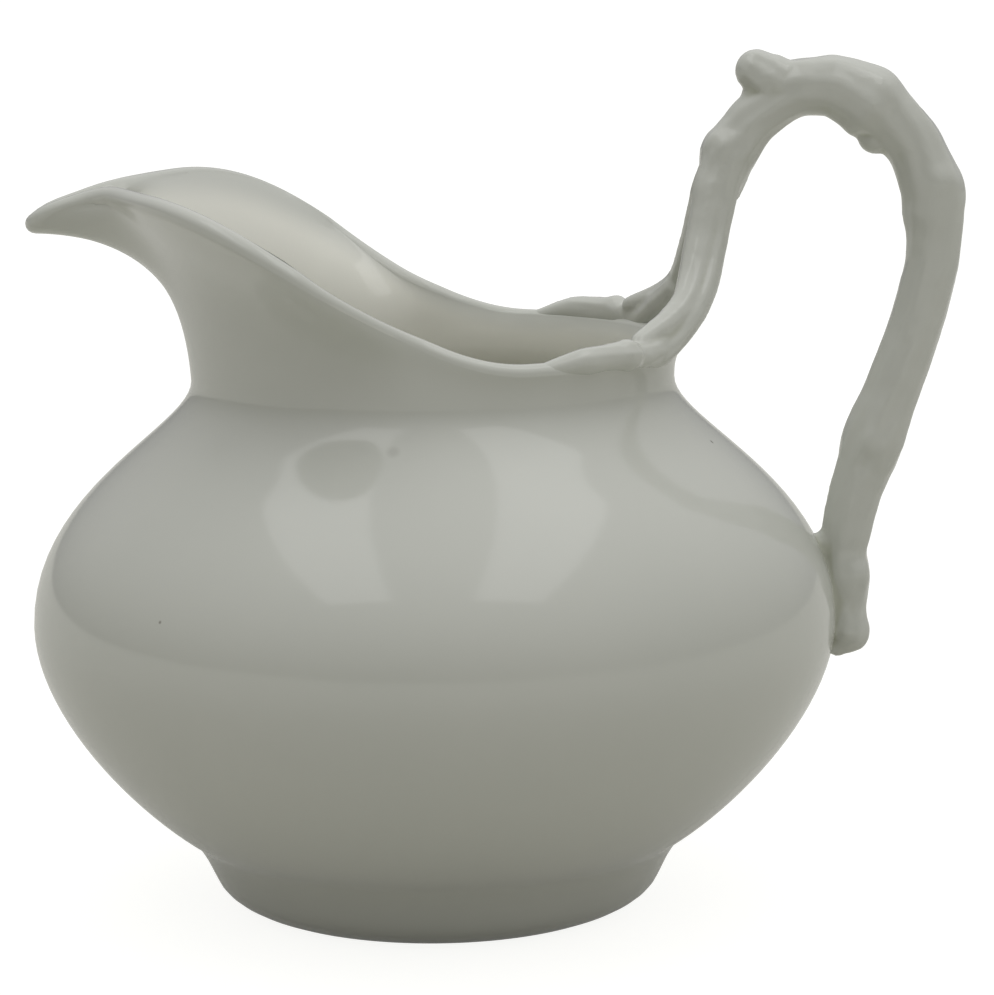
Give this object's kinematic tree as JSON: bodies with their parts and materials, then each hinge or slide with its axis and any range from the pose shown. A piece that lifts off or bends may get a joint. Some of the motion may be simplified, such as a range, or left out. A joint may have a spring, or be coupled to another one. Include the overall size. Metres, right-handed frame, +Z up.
{
  "type": "creamer",
  "caption": "Squat glazed creamer with a drawn-out pouring spout, a foot ring and a forked branch handle that grips the rim and lands on the belly.",
  "frame": {"origin": "middle of the object's outline on the table, under the foot ring's standing face", "axes": "+Z up, +X from the spout towards the handle, +Y across the bowl"},
  "size_m": [0.1281, 0.1106, 0.1176],
  "materials": {
    "white_glaze": "clear gloss glaze over white earthenware",
    "handle_glaze": "clear gloss glaze over cast bark lines",
    "foot_glaze": "gloss glaze, wiped thin on the standing face",
    "slip_glaze": "gloss glaze pooled over the joint"
  },
  "bodies": {
    "root": {"body": "white_glaze", "foot_ring": "foot_glaze", "foot_slip": "slip_glaze", "handle_branch": "handle_glaze", "fork_arm_left": "handle_glaze", "fork_arm_right": "handle_glaze", "rim_twig_left": "handle_glaze", "rim_twig_right": "handle_glaze", "arm_slip_left": "slip_glaze", "arm_slip_right": "slip_glaze", "heel_slip": "slip_glaze"}
  },
  "joints": []
}
